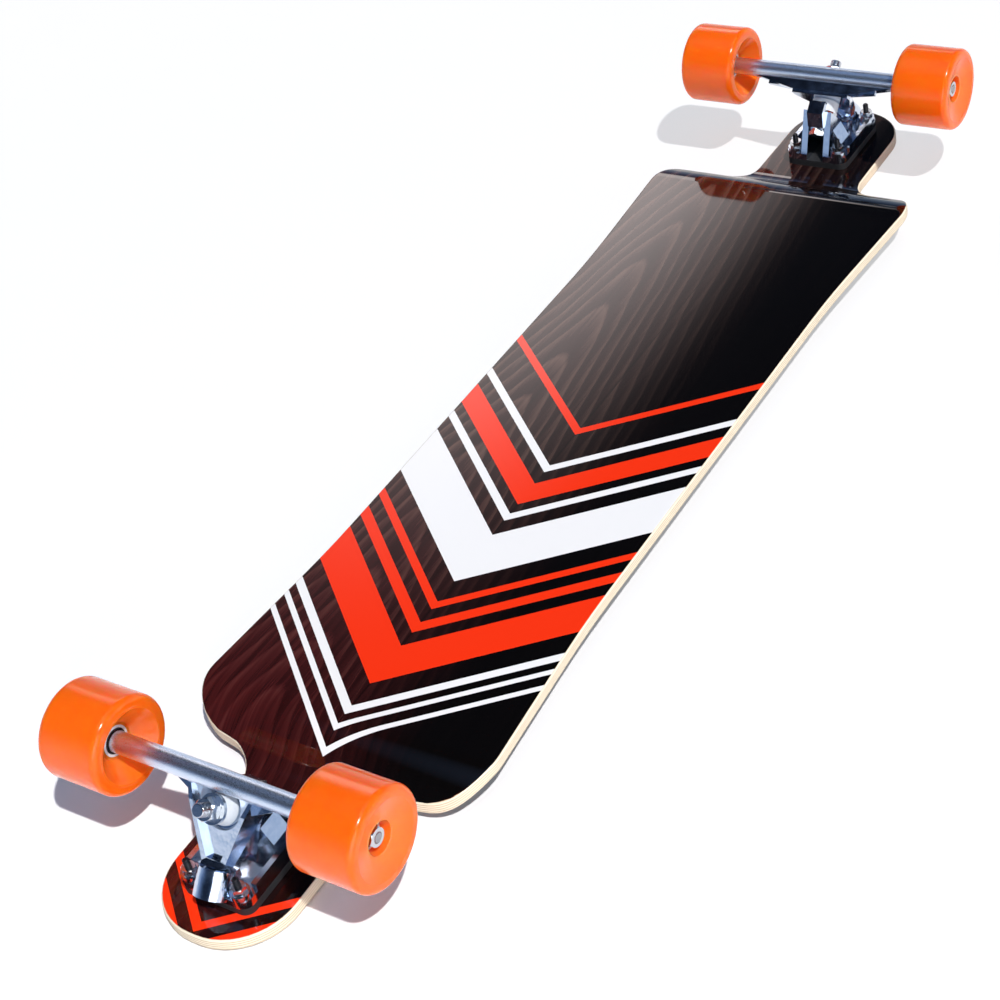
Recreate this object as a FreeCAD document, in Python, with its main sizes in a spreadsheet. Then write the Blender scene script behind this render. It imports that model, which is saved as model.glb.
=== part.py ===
"""A longboard skateboard lying upside down on its two deck ends.

Frame: millimetres, +Z up, X along the board, origin on the ground under the middle of the board.
The trucks and wheels point up, the grip tape faces down, and the front end is at -X.
"""
import FreeCAD, Part
import math
import os
import Sketcher

SIZES = {
    # deck outline, seen from above; places along the board are measured inwards from the axle
    "wheelbase": 905,
    "tip_overhang": 68,
    "waist_width": 227,
    "flare_back": 252,
    "flare_round": 1000,
    "shoulder_width": 250,
    "shoulder_back": 83.5,
    "shoulder_round": 42,
    "neck_back": 72.5,
    "neck_round": 30,
    "tongue_width": 102,
    "tip_round": 48,
    # deck section, seen from the side
    "deck_thickness": 10,
    "platform_rise": 22,
    "bend_back": 68.5,
    "bend_run": 31,
    "bend_radius": 45,
    "edge_round": 2,
    "grip_thickness": 0.8,
    "grip_inset": 2.5,
    "grip_bend_gap": 12,
    # mounting hardware
    "bolt_spacing_long": 63.5,
    "bolt_spacing_wide": 41.3,
    "bolt_radius": 2.4,
    "bolt_hole_clearance": 0.3,
    "bolt_head_radius": 4.6,
    "bolt_head_depth": 2.6,
    "bolt_socket_across": 3.2,
    "bolt_socket_depth": 1.8,
    "bolt_tail": 7,
    "bolt_nut_across": 9.5,
    "bolt_nut_height": 5,
    # truck layout
    "truck_height": 69,
    "riser_thickness": 6,
    "kingpin_angle": 43,
    "axle_back": 18.5,
    "axle_rise": 14,
    # baseplate
    "base_inner": 35,
    "base_outer": 42,
    "base_width": 58,
    "base_corner": 8,
    "base_thickness": 6,
    "boss_radius": 7,
    "boss_height": 4,
    "rail_thickness": 4,
    "rail_height": 6,
    "rail_gap": 7,
    "tower_width": 27,
    "tower_foot": 14,
    "shroud_width": 15,
    "shroud_thickness": 5,
    "shroud_rise": 8,
    "gusset_width": 50,
    "gusset_rise": 19,
    "gusset_inner": 20,
    "gusset_outer": 3,
    "head_seat_depth": 31,
    "head_niche_gap": 0.6,
    "snout_radius": 12.3,
    "snout_end": 59,
    "pivot_mouth": 39.6,
    "saddle_inner": 20,
    "saddle_width": 17,
    "saddle_rise": 3.5,
    # kingpin stack, measured along the kingpin from the middle of the hanger ring
    "ring_thickness": 9,
    "boardside_bushing_height": 12,
    "roadside_bushing_height": 12.5,
    "bushing_radius": 12,
    "bushing_tip_radius": 8.4,
    "washer_thickness": 1.5,
    "washer_lip": 1.2,
    "kingpin_radius": 4.76,
    "kingpin_tip": 33,
    "kingpin_head_height": 7,
    "kingpin_nut_across": 14.3,
    "kingpin_nut_height": 8,
    "ring_hole_radius": 8,
    "slip_gap": 0.05,
    "tip_chamfer": 0.8,
    "nut_chamfer": 0.9,
    # hanger
    "hanger_length": 180,
    "hanger_bar_radius": 7.5,
    "shield_half_width": 27,
    "shield_rim": 14,
    "shield_rim_wall": 3,
    "shield_sink": 4,
    "shield_fall_angle": 13,
    "bowl_floor_radius": 13,
    "bowl_radius": 19,
    "web_reach": 72,
    "web_thickness": 7,
    "web_depth": 16,
    "web_end_depth": 6,
    "wing_reach": 52,
    "wing_root": 20,
    "wing_low": 1,
    "wing_top": 8,
    "stem_start": 38,
    "stem_radius": 9,
    "stem_root_radius": 5.4,
    "pivot_radius": 5.5,
    "pivot_start": 41,
    "pivot_length": 12,
    "pivot_round": 3.8,
    "pivot_cup_wall": 2,
    "cast_round": 3,
    # axle and wheels
    "axle_radius": 3.95,
    "axle_length": 245,
    "axle_nut_across": 12.7,
    "axle_nut_height": 6,
    "speed_washer_radius": 6,
    "speed_washer_thickness": 1,
    "bearing_radius": 11,
    "bearing_width": 7,
    "bearing_spacing": 10,
    "inner_race_radius": 6.05,
    "shield_thickness": 0.5,
    "outer_race_wall": 1.75,
    "wheel_radius": 35,
    "wheel_width": 51,
    "wheel_lip_round": 4.5,
    "wheel_hub_radius": 13,
    "wheel_hub_gap": 0.4,
    "wheel_core_radius": 9.2,
    "inner_recess_radius": 26,
    "outer_dish_radius": 28,
    "outer_dish_depth": 5,
}

document = FreeCAD.newDocument("longboard")
sheet = document.addObject("Spreadsheet::Sheet", "Sizes")
for row, (alias, number) in enumerate(SIZES.items(), start=1):
    sheet.set(f"A{row}", alias)
    sheet.set(f"B{row}", str(number))
    sheet.setAlias(f"B{row}", alias)
document.recompute()

Vector = FreeCAD.Vector
Placement = FreeCAD.Placement
X_AXIS = Vector(1, 0, 0)
Y_AXIS = Vector(0, 1, 0)
Z_AXIS = Vector(0, 0, 1)
TINY = 1e-9
UPRIGHT_LIMIT = 0.1
nodes = []


class Size:
    """A number together with the sheet expression that it comes from."""

    def __init__(self, value, text):
        self.value = value
        self.text = text

    def __add__(self, other):
        other = as_size(other)
        return Size(self.value + other.value, f"({self.text} + {other.text})")

    def __sub__(self, other):
        other = as_size(other)
        return Size(self.value - other.value, f"({self.text} - {other.text})")

    def __mul__(self, other):
        other = as_size(other)
        return Size(self.value * other.value, f"({self.text} * {other.text})")

    def __truediv__(self, other):
        other = as_size(other)
        return Size(self.value / other.value, f"({self.text} / {other.text})")

    def __neg__(self):
        return as_size(0) - self

    def __radd__(self, other):
        return as_size(other) + self

    def __rsub__(self, other):
        return as_size(other) - self

    def __rmul__(self, other):
        return as_size(other) * self

    def __float__(self):
        return float(self.value)


def as_size(item):
    return item if isinstance(item, Size) else Size(float(item), f"{float(item):.9f}")


def size(alias):
    return Size(float(sheet.get(alias)), f"Sizes.{alias}")


def bind(item, **sizes):
    """Set each property of a document object and tie it to the sheet."""
    for name, value in sizes.items():
        setattr(item, name, as_size(value).value)
        item.setExpression(name, as_size(value).text)
    return item


def shift(x=0, y=0, z=0):
    return Placement(Vector(float(x), float(y), float(z)), FreeCAD.Rotation())


def turn(axis, degrees):
    return Placement(Vector(), FreeCAD.Rotation(axis, float(degrees)))


ALONG_X = turn(Y_AXIS, 90)
ALONG_Y = turn(X_AXIS, -90)
UPRIGHT = turn(X_AXIS, 90)
CROSSWISE = turn(Vector(1, 1, 1), 120)
HALF_TURN = turn(Z_AXIS, 180)


def add(kind, name, place=None):
    item = document.addObject(kind, name)
    if place is not None:
        item.Placement = place
    return item


def cylinder(name, radius, low, high, place):
    """Round bar along the local Z axis, from low to high."""
    item = add("Part::Cylinder", name, place * shift(z=low))
    return bind(item, Radius=radius, Height=as_size(high) - low)


def cone(name, low_radius, high_radius, low, high, place):
    item = add("Part::Cone", name, place * shift(z=low))
    return bind(item, Radius1=low_radius, Radius2=high_radius, Height=as_size(high) - low)


def box(name, x_range, y_range, z_range, place):
    item = add("Part::Box", name, place * shift(x_range[0], y_range[0], z_range[0]))
    spans = [as_size(span[1]) - span[0] for span in (x_range, y_range, z_range)]
    return bind(item, Length=spans[0], Width=spans[1], Height=spans[2])


def hexagon(name, across, low, high, place):
    item = add("Part::Prism", name, place * shift(z=low))
    item.Polygon = 6
    return bind(item, Circumradius=as_size(across) / math.sqrt(3), Height=as_size(high) - low)


def cut(name, base, tool):
    item = add("Part::Cut", name)
    item.Base = base
    item.Tool = tool
    return item


def common(name, base, tool):
    item = add("Part::Common", name)
    item.Base = base
    item.Tool = tool
    return item


def fuse(name, pieces):
    item = add("Part::MultiFuse", name)
    item.Shapes = pieces
    item.Refine = True
    return item


def group(name, pieces):
    item = add("Part::Compound", name)
    item.Links = pieces
    return item


def tube(name, inner_radius, outer_radius, low, high, place):
    outside = cylinder(f"{name}_outside", outer_radius, low, high, place)
    inside = cylinder(f"{name}_inside", inner_radius, low, high, place)
    return cut(name, outside, inside)


def node(item, label):
    """Keep a finished piece under the name of its file."""
    item.Label = label
    nodes.append(item)
    return item


def origin_plane(body, role):
    return next(plane for plane in body.Origin.OriginFeatures if plane.Role == role)


def fix_point(sketch, geometry, end, corner):
    """Hold one end of a sketch line at a corner given by two sizes."""
    for kind, axis, value in (("DistanceX", -2, corner[0]), ("DistanceY", -1, corner[1])):
        value = as_size(value)
        if abs(value.value) < TINY:
            sketch.addConstraint(Sketcher.Constraint("PointOnObject", geometry, end, axis))
            continue
        index = sketch.addConstraint(Sketcher.Constraint(kind, -1, 1, geometry, end, value.value))
        sketch.setExpression(f"Constraints[{index}]", value.text)


def nearest_end(sketch, geometry, point):
    gaps = [(sketch.getPoint(geometry, end) - point).Length for end in (1, 2)]
    return 1 if gaps[0] <= gaps[1] else 2


def draw(sketch, corners):
    """Closed outline; a corner is (x, y), or (x, y, radius) where it is rounded."""
    points = [Vector(float(corner[0]), float(corner[1]), 0) for corner in corners]
    entries = []
    exits = []
    arcs = {}
    for index, corner in enumerate(corners):
        here = points[index]
        before = (points[index - 1] - here).normalize()
        after = (points[(index + 1) % len(points)] - here).normalize()
        if len(corner) == 2:
            entries.append(here)
            exits.append(here)
            continue
        radius = float(corner[2])
        half = before.getAngle(after) / 2
        entries.append(here + before * (radius / math.tan(half)))
        exits.append(here + after * (radius / math.tan(half)))
        centre = here + (before + after).normalize() * (radius / math.sin(half))
        middle = centre + (here - centre).normalize() * radius
        arcs[index] = Part.Arc(entries[index], middle, exits[index])
    chain = []
    for index, corner in enumerate(corners):
        line = sketch.addGeometry(Part.LineSegment(exits[index - 1], entries[index]))
        chain.append((line, exits[index - 1], entries[index], None))
        if index in arcs:
            arc = sketch.addGeometry(arcs[index])
            chain.append((arc, entries[index], exits[index], corner[2]))
        else:
            fix_point(sketch, line, 2, corner)
    for (first, _, joint, _), (second, start, _, _) in zip(chain, chain[1:] + chain[:1]):
        ends = (nearest_end(sketch, first, joint), nearest_end(sketch, second, start))
        sketch.addConstraint(Sketcher.Constraint("Coincident", first, ends[0], second, ends[1]))
    for geometry, _, _, radius in chain:
        if radius is not None:
            radius = as_size(radius)
            index = sketch.addConstraint(Sketcher.Constraint("Radius", geometry, radius.value))
            sketch.setExpression(f"Constraints[{index}]", radius.text)


def sketched_body(name, role, corners, place):
    body = add("PartDesign::Body", name, place)
    sketch = body.newObject("Sketcher::SketchObject", f"{name}_outline")
    sketch.AttachmentSupport = [(origin_plane(body, role), "")]
    sketch.MapMode = "FlatFace"
    draw(sketch, corners)
    return body, sketch


def prism(name, corners, low, high, place):
    """Outline in the local XY plane, padded from low to high."""
    body, sketch = sketched_body(name, "XY_Plane", corners, place * shift(z=low))
    pad = body.newObject("PartDesign::Pad", f"{name}_pad")
    pad.Profile = sketch
    bind(pad, Length=as_size(high) - low)
    return body


def revolve(name, corners, place):
    """Profile of (radius, height) corners, turned about the local Z axis."""
    body, sketch = sketched_body(name, "XZ_Plane", corners, place)
    revolution = body.newObject("PartDesign::Revolution", f"{name}_revolution")
    revolution.Profile = sketch
    revolution.ReferenceAxis = (sketch, ["V_Axis"])
    revolution.Angle = 360
    return body


def pin(name, radius, low, high, place):
    """Round bar with a small chamfer at both ends."""
    tip = size("tip_chamfer")
    profile = [
        (0, low),
        (radius - tip, low),
        (radius, low + tip),
        (radius, high - tip),
        (radius - tip, high),
        (0, high),
    ]
    return revolve(name, profile, place)


def hex_blank(name, across, low, high, place):
    """Hexagon with its corners turned down at both ends."""
    flat = across / 2
    corner = across / math.sqrt(3)
    rise = size("nut_chamfer")
    profile = [
        (0, low),
        (flat, low),
        (corner, low + rise),
        (corner, high - rise),
        (flat, high),
        (0, high),
    ]
    turned = revolve(f"{name}_turned", profile, place)
    return common(name, hexagon(f"{name}_hexagon", across, low, high, place), turned)


def nut(name, across, hole, low, high, place):
    blank = hex_blank(f"{name}_blank", across, low, high, place)
    return cut(name, blank, cylinder(f"{name}_bore", hole, low, high, place))


# Levels above the ground.
tongue_low = size("grip_thickness")
tongue_top = tongue_low + size("deck_thickness")
platform_low = tongue_low + size("platform_rise")
axle_level = tongue_top + size("riser_thickness") + size("truck_height")

# The truck frame has its origin on the axle, X pointing out of the board's end and Z up.
# The kingpin frame sits in the middle of the hanger ring, with Z along the kingpin
# and X along the steering axis, down to the pivot.
TILT = 90 - float(size("kingpin_angle"))
tilt_turn = turn(Y_AXIS, TILT)
ring_in_truck = tilt_turn.multVec(Vector(float(size("axle_back")), 0, -float(size("axle_rise"))))
KINGPIN_FRAME = Placement(ring_in_truck, tilt_turn.Rotation)

# Heights along the kingpin.
ring_half = size("ring_thickness") / 2
board_bushing_end = ring_half + size("boardside_bushing_height")
board_washer_end = board_bushing_end + size("washer_thickness")
road_bushing_end = ring_half + size("roadside_bushing_height")
road_washer_end = road_bushing_end + size("washer_thickness")
head_seat = -size("head_seat_depth")
kingpin_hole = size("kingpin_radius") + size("slip_gap")

# Heights in the truck frame.
base_low = -size("truck_height")
base_top = base_low + size("base_thickness")
boss_top = base_top + size("boss_height")
bolt_centre = (size("base_outer") - size("base_inner")) / 2
bolt_hole = size("bolt_radius") + size("bolt_hole_clearance")

# Places along the axle, from the middle of the truck.
bearing_in = size("hanger_length") / 2 + size("speed_washer_thickness")
bearing_in_end = bearing_in + size("bearing_width")
bearing_out = bearing_in_end + size("bearing_spacing")
bearing_out_end = bearing_out + size("bearing_width")
axle_nut_low = bearing_out_end + size("speed_washer_thickness")


def truck_place(end):
    """Truck frame of the rear end (+1) or the front end (-1)."""
    place = shift(end * float(size("wheelbase")) / 2, 0, axle_level)
    return place if end > 0 else place * HALF_TURN


def bolt_places(end):
    """Vertical axes of one truck's four mounting bolts, at axle height."""
    long_half = size("bolt_spacing_long") / 2
    wide_half = size("bolt_spacing_wide") / 2
    along = (bolt_centre - long_half, bolt_centre + long_half)
    return [truck_place(end) * shift(x, y) for x in along for y in (wide_half, -wide_half)]


axle_place = size("wheelbase") / 2
lower_bend = axle_place - size("bend_back")
upper_bend = lower_bend - size("bend_run")
board_tip = axle_place + size("tip_overhang")


def deck_outline(inset):
    """Outline of the deck seen from above, moved inwards by inset."""
    waist_half = size("waist_width") / 2 - inset
    shoulder_half = size("shoulder_width") / 2 - inset
    tongue_half = size("tongue_width") / 2 - inset
    quarter = [
        (axle_place - size("flare_back"), waist_half, size("flare_round")),
        (axle_place - size("shoulder_back") - inset, shoulder_half, size("shoulder_round")),
        (axle_place - size("neck_back") - inset, tongue_half, size("neck_round")),
        (board_tip - inset, tongue_half, size("tip_round")),
    ]
    right_rear = [(x, -y, radius) for x, y, radius in quarter[::-1]]
    right_front = [(-x, -y, radius) for x, y, radius in quarter]
    left_front = [(-x, y, radius) for x, y, radius in quarter[::-1]]
    return quarter + right_rear + right_front + left_front


def deck_section():
    """Side section of the deck: a raised platform, two bends at each end and two flat tongues."""
    thickness = size("deck_thickness")
    slope = math.atan2(float(size("platform_rise")), float(size("bend_run")))
    lag = thickness * math.tan(slope / 2)
    past_tip = board_tip + thickness
    wide = size("bend_radius") + thickness / 2
    tight = size("bend_radius") - thickness / 2
    rear = [
        (upper_bend - lag, platform_low, tight),
        (lower_bend - lag, tongue_low, wide),
        (past_tip, tongue_low),
        (past_tip, tongue_top),
        (lower_bend, tongue_top, tight),
        (upper_bend, platform_low + thickness, wide),
    ]
    front = [(-corner[0], *corner[1:]) for corner in rear[::-1]]
    return rear + front


def is_wall(face):
    """True for the deck's upright edge faces."""
    first_u, last_u, first_v, last_v = face.ParameterRange
    normal = face.normalAt((first_u + last_u) / 2, (first_v + last_v) / 2)
    return abs(normal.z) < UPRIGHT_LIMIT


def rim_edges(shape):
    """Numbers of the edges where the deck's skins meet its upright edge faces."""
    found = []
    for number, edge in enumerate(shape.Edges, start=1):
        walls = [is_wall(face) for face in shape.ancestorsOfType(edge, Part.Face)]
        if walls.count(True) == 1:
            found.append(number)
    return found


def make_deck():
    reach = size("shoulder_width") / 2 + size("deck_thickness")
    section = prism("deck_section", deck_section(), -reach, reach, UPRIGHT)
    outline = prism("deck_outline", deck_outline(as_size(0)), 0, axle_level, shift())
    blank = common("deck_blank", section, outline)
    document.recompute()
    rounded = add("Part::Fillet", "deck_rounded")
    rounded.Base = blank
    radius = float(size("edge_round"))
    rounded.Edges = [(number, radius, radius) for number in rim_edges(blank.Shape)]
    tools = []
    low = tongue_low - axle_level
    for end in (-1, 1):
        for number, place in enumerate(bolt_places(end)):
            name = f"deck_hole_{end + 1}_{number}"
            tools.append(cylinder(name, bolt_hole, low, low + size("deck_thickness"), place))
            tools.append(bolt_head_cone(f"{name}_sink", size("bolt_hole_clearance"), place))
    node(cut("deck", rounded, fuse("deck_holes", tools)), "deck")


def bolt_head_cone(name, clearance, place):
    low = tongue_low - axle_level
    head = size("bolt_head_radius") + clearance
    shank = size("bolt_radius") + clearance
    return cone(name, head, shank, low, low + size("bolt_head_depth"), place)


def make_grip_tape():
    inset = size("grip_inset")
    reach = size("shoulder_width") / 2
    gap = size("grip_bend_gap")
    platform_end = upper_bend - size("bend_radius") / 2 - gap / 2
    end_start = lower_bend + size("bend_radius") / 2 - gap / 2
    across = (-reach, reach)
    outline = prism("grip_outline", deck_outline(inset), 0, platform_low, shift())
    platform_range = (platform_low - size("grip_thickness"), platform_low)
    platform = box("grip_platform", (-platform_end, platform_end), across, platform_range, shift())
    sheets = [common("grip_platform_sheet", platform, outline)]
    heads = size("bolt_head_radius") + size("bolt_hole_clearance")
    for end, name in ((-1, "front"), (1, "rear")):
        flip = shift() if end > 0 else HALF_TURN
        blank = box(f"grip_{name}", (end_start, board_tip), across, (0, size("grip_thickness")), flip)
        whole = common(f"grip_{name}_blank", blank, outline)
        holes = [
            cylinder(f"grip_{name}_hole_{number}", heads, -axle_level, tongue_low - axle_level, place)
            for number, place in enumerate(bolt_places(end))
        ]
        sheets.append(cut(f"grip_{name}_sheet", whole, fuse(f"grip_{name}_holes", holes)))
    node(group("grip_tape", sheets), "grip_tape")


def base_outline():
    half = size("base_width") / 2
    corner = size("base_corner")
    return [
        (size("base_outer"), half, corner),
        (-size("base_inner"), half, corner),
        (-size("base_inner"), -half, corner),
        (size("base_outer"), -half, corner),
    ]


def bolt_drills(name, end, low, high):
    drills = [
        cylinder(f"{name}_drill_{number}", bolt_hole, low, high, place)
        for number, place in enumerate(bolt_places(end))
    ]
    return fuse(f"{name}_drills", drills)


def make_riser_pad(name, end):
    low = base_low - size("riser_thickness")
    pad = prism(f"{name}_riser_sheet", base_outline(), low, base_low, truck_place(end))
    drills = bolt_drills(f"{name}_riser", end, low, base_low)
    node(cut(f"{name}_riser_pad", pad, drills), f"{name}_riser_pad")


def tower_pieces(name, truck):
    """Kingpin tower with its shroud behind the washer seat, and the sloping gusset across it."""
    kingpin = truck * KINGPIN_FRAME
    half = float(size("tower_width")) / 2
    seat = -float(board_washer_end)
    back = KINGPIN_FRAME.multVec(Vector(-half, 0, seat))
    front = KINGPIN_FRAME.multVec(Vector(half, 0, seat))
    foot = base_low + size("base_thickness") / 2
    side = [
        (-size("base_inner"), foot),
        (front.x + size("tower_foot"), foot),
        (front.x, front.z),
        (back.x, back.z),
    ]
    across = size("tower_width") / 2
    tower = prism(f"{name}_tower", side, -across, across, truck * UPRIGHT)
    shroud_half = size("shroud_width") / 2
    inner = -across - size("slip_gap")
    outer = -across - size("shroud_thickness")
    rise = size("shroud_rise")
    column = [
        (outer, seat + rise),
        (inner, seat + rise),
        (inner, seat),
        (0, seat),
        (0, seat - 2 * rise),
        (-across / 2, seat - 2 * rise),
        (outer, seat - rise / 2),
    ]
    shroud = prism(f"{name}_shroud", column, -shroud_half, shroud_half, kingpin * UPRIGHT)
    spread = size("gusset_width") / 2
    top = base_top + size("gusset_rise")
    slope = [(-spread, foot), (spread, foot), (across, top), (-across, top)]
    gusset = prism(
        f"{name}_gusset", slope, -size("gusset_inner"), -size("gusset_outer"), truck * CROSSWISE
    )
    return [tower, shroud, gusset]


def snout_pieces(name, truck):
    """Round snout along the steering axis that holds the pivot cup, on a low saddle."""
    along = truck * KINGPIN_FRAME * ALONG_X
    mouth = size("pivot_mouth")
    whole = cylinder(f"{name}_snout_bar", size("snout_radius"), mouth, size("snout_end"), along)
    room = (-size("truck_height"), size("truck_height"))
    below = box(f"{name}_below", room, room, (2 * base_low, base_low), truck)
    half = size("saddle_width") / 2
    rise = (base_low, base_top + size("saddle_rise"))
    saddle = box(f"{name}_saddle", (size("saddle_inner"), size("base_outer")), (-half, half), rise, truck)
    return [cut(f"{name}_snout", whole, below), saddle]


def make_baseplate(name, end):
    """Cast plate with a kingpin tower and its niche, bolt bosses, side rails and a pivot snout."""
    truck = truck_place(end)
    kingpin = truck * KINGPIN_FRAME
    pieces = [prism(f"{name}_flange", base_outline(), base_low, base_top, truck)]
    pieces += tower_pieces(name, truck)
    pieces += snout_pieces(name, truck)
    for number, place in enumerate(bolt_places(end)):
        pieces.append(cylinder(f"{name}_boss_{number}", size("boss_radius"), base_low, boss_top, place))
    rail_out = size("base_width") / 2
    rail_in = rail_out - size("rail_thickness")
    long_half = size("bolt_spacing_long") / 2 - size("rail_gap")
    rail_run = (bolt_centre - long_half, bolt_centre + long_half)
    for side, span in (("left", (rail_in, rail_out)), ("right", (-rail_out, -rail_in))):
        rail_height = (base_low, base_top + size("rail_height"))
        pieces.append(box(f"{name}_rail_{side}", rail_run, span, rail_height, truck))
    whole = fuse(f"{name}_casting", pieces)
    niche = size("kingpin_nut_across") / 2 + size("head_niche_gap")
    niche_top = size("kingpin_nut_across") / math.sqrt(3) + size("head_niche_gap")
    niche_deep = head_seat - size("truck_height")
    niche_run = (-niche_top, size("truck_height"))
    socket_radius = size("pivot_radius") + size("slip_gap") + size("pivot_cup_wall")
    cup_end = size("pivot_start") + size("pivot_length") + size("pivot_cup_wall")
    tools = [
        bolt_drills(f"{name}_base", end, base_low, boss_top),
        cylinder(f"{name}_kingpin_bore", kingpin_hole, niche_deep, -board_bushing_end, kingpin),
        box(f"{name}_niche", niche_run, (-niche, niche), (niche_deep, head_seat), kingpin),
        cylinder(f"{name}_socket", socket_radius, 0, cup_end, kingpin * ALONG_X),
    ]
    node(cut(f"{name}_baseplate", whole, fuse(f"{name}_base_cuts", tools)), f"{name}_baseplate")


def make_pivot_cup(name, end):
    """Plastic cup that holds the round nose of the hanger."""
    pivot = truck_place(end) * KINGPIN_FRAME * ALONG_X
    inner = size("pivot_radius") + size("slip_gap")
    outer = inner + size("pivot_cup_wall")
    floor = size("pivot_start") + size("pivot_length")
    start = size("pivot_start") + size("slip_gap")
    profile = [
        (0, floor + size("slip_gap")),
        (inner, floor + size("slip_gap")),
        (inner, start),
        (outer, start),
        (outer, floor + size("pivot_cup_wall")),
        (0, floor + size("pivot_cup_wall")),
    ]
    node(revolve(f"{name}_cup", profile, pivot), f"{name}_pivot_cup")


def make_kingpin(name, end):
    kingpin = truck_place(end) * KINGPIN_FRAME
    across = size("kingpin_nut_across")
    shaft = pin(f"{name}_shaft", size("kingpin_radius"), head_seat, size("kingpin_tip"), kingpin)
    head_low = head_seat - size("kingpin_head_height")
    head = hex_blank(f"{name}_kingpin_head", across, head_low, head_seat, kingpin)
    stub = cylinder(f"{name}_neck", size("kingpin_radius"), head_low, -ring_half, kingpin)
    node(fuse(f"{name}_kingpin", [shaft, stub, head]), f"{name}_kingpin")
    top = road_washer_end + size("kingpin_nut_height")
    lock = nut(f"{name}_lock_nut", across, kingpin_hole, road_washer_end, top, kingpin)
    node(lock, f"{name}_kingpin_nut")


def make_bushings(name, end):
    """Barrel bushing on the board side of the ring and cone bushing on the road side, with cup washers."""
    up = truck_place(end) * KINGPIN_FRAME
    down = up * turn(X_AXIS, 180)
    gap = size("slip_gap")
    lip = size("washer_lip")
    wide = size("bushing_radius")
    narrow = size("bushing_tip_radius")
    rounding = size("washer_thickness")
    barrel = [
        (kingpin_hole, ring_half),
        (wide, ring_half, rounding),
        (wide, board_bushing_end),
        (kingpin_hole, board_bushing_end),
    ]
    taper = [
        (kingpin_hole, ring_half),
        (wide, ring_half, rounding),
        (narrow, road_bushing_end),
        (kingpin_hole, road_bushing_end),
    ]
    node(revolve(f"{name}_barrel", barrel, down), f"{name}_boardside_bushing")
    node(revolve(f"{name}_taper", taper, up), f"{name}_roadside_bushing")
    seats = (
        ("boardside", wide, board_bushing_end, board_washer_end, down),
        ("roadside", narrow + lip / 2, road_bushing_end, road_washer_end, up),
    )
    for side, radius, low, high, place in seats:
        cup = [
            (kingpin_hole, low),
            (radius + gap, low),
            (radius + gap, low - lip),
            (radius + lip, low - lip),
            (radius + lip, high),
            (kingpin_hole, high),
        ]
        node(revolve(f"{name}_{side}_cup_washer", cup, place), f"{name}_{side}_washer")


def shield_outline(inset):
    """Outline of the hanger's shield: wide under the bar, narrow at the pivot stem."""
    bar_front = -size("axle_back") + size("hanger_bar_radius")
    wide = size("shield_half_width") - inset
    stem = size("stem_radius") - inset
    nose = size("stem_start") - inset
    back = -size("axle_back")
    soft = size("cast_round")
    left = [(nose, stem), (bar_front, wide, soft), (back, wide)]
    right = [(back, -wide), (bar_front, -wide, soft), (nose, -stem)]
    return left + right


def web_outline():
    """Leaf-shaped web under the bar, in the plane across the truck, from the bar's middle down."""
    top = size("axle_rise")
    low = top - size("web_depth")
    end_low = top - size("web_end_depth")
    side = [(size("web_reach"), top), (size("web_reach"), end_low), (size("shield_half_width"), low)]
    return [(-x, y) for x, y in side] + side[::-1]


def wing_outline():
    """Flat triangular wings between the shield and the bar."""
    back = -size("axle_back")
    front = -size("axle_back") + size("hanger_bar_radius") / 2
    side = [(0, size("wing_root")), (front, size("wing_reach")), (back, size("wing_reach"))]
    return side + [(x, -y) for x, y in side[::-1]]


def make_shield(name, kingpin):
    """Shield with wings that falls to the pivot stem, with raised rims and a bowl round the bushing."""
    rim = size("shield_rim")
    pivot_end = size("pivot_start") + size("pivot_length")
    profile = [
        (0, 0),
        (size("stem_root_radius"), 0),
        (size("stem_radius"), size("stem_start")),
        (size("pivot_radius"), size("pivot_start")),
        (size("pivot_radius"), pivot_end, size("pivot_round")),
        (0, pivot_end),
    ]
    stem = revolve(f"{name}_stem", profile, kingpin * ALONG_X)
    block = prism(f"{name}_shield", shield_outline(as_size(0)), -ring_half, rim, kingpin)
    slope = kingpin * shift(z=rim) * turn(Y_AXIS, size("shield_fall_angle"))
    wide = (-size("shield_half_width"), size("shield_half_width"))
    above = box(f"{name}_above", (0, size("stem_start")), wide, (0, rim), slope)
    sunk = prism(f"{name}_sunk", shield_outline(size("shield_rim_wall")), -size("shield_sink"), rim, slope)
    bowl = cone(f"{name}_bowl", size("bowl_floor_radius"), size("bowl_radius"), ring_half, rim, kingpin)
    wings = prism(f"{name}_wings", wing_outline(), size("wing_low"), size("wing_top"), kingpin)
    whole = fuse(f"{name}_shield_blank", [block, stem, wings])
    return cut(f"{name}_scooped_shield", whole, fuse(f"{name}_scoop", [above, sunk, bowl]))


def make_hanger(name, end):
    """Cast hanger: round bar, scooped shield with its pivot stem, web and wings."""
    kingpin = truck_place(end) * KINGPIN_FRAME
    axle = kingpin * shift(-size("axle_back"), 0, size("axle_rise")) * ALONG_Y
    half = size("hanger_length") / 2
    bar = cylinder(f"{name}_bar", size("hanger_bar_radius"), -half, half, axle)
    web_half = size("web_thickness") / 2
    web_place = kingpin * shift(x=-size("axle_back")) * CROSSWISE
    web = prism(f"{name}_web", web_outline(), -web_half, web_half, web_place)
    whole = fuse(f"{name}_hanger_casting", [bar, make_shield(name, kingpin), web])
    whole.Refine = False
    bore = size("axle_radius") + size("slip_gap")
    floor = size("bowl_floor_radius")
    tools = [
        cylinder(f"{name}_ring_hole", size("ring_hole_radius"), -ring_half, ring_half, kingpin),
        cylinder(f"{name}_ring_face", floor, -board_bushing_end, -ring_half, kingpin),
        cylinder(f"{name}_axle_bore", bore, -half, half, axle),
    ]
    node(cut(f"{name}_hanger", whole, fuse(f"{name}_hanger_cuts", tools)), f"{name}_hanger")


def make_axle(name, end):
    half = size("axle_length") / 2
    place = truck_place(end) * ALONG_Y
    node(pin(f"{name}_rod", size("axle_radius"), -half, half, place), f"{name}_axle")


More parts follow.
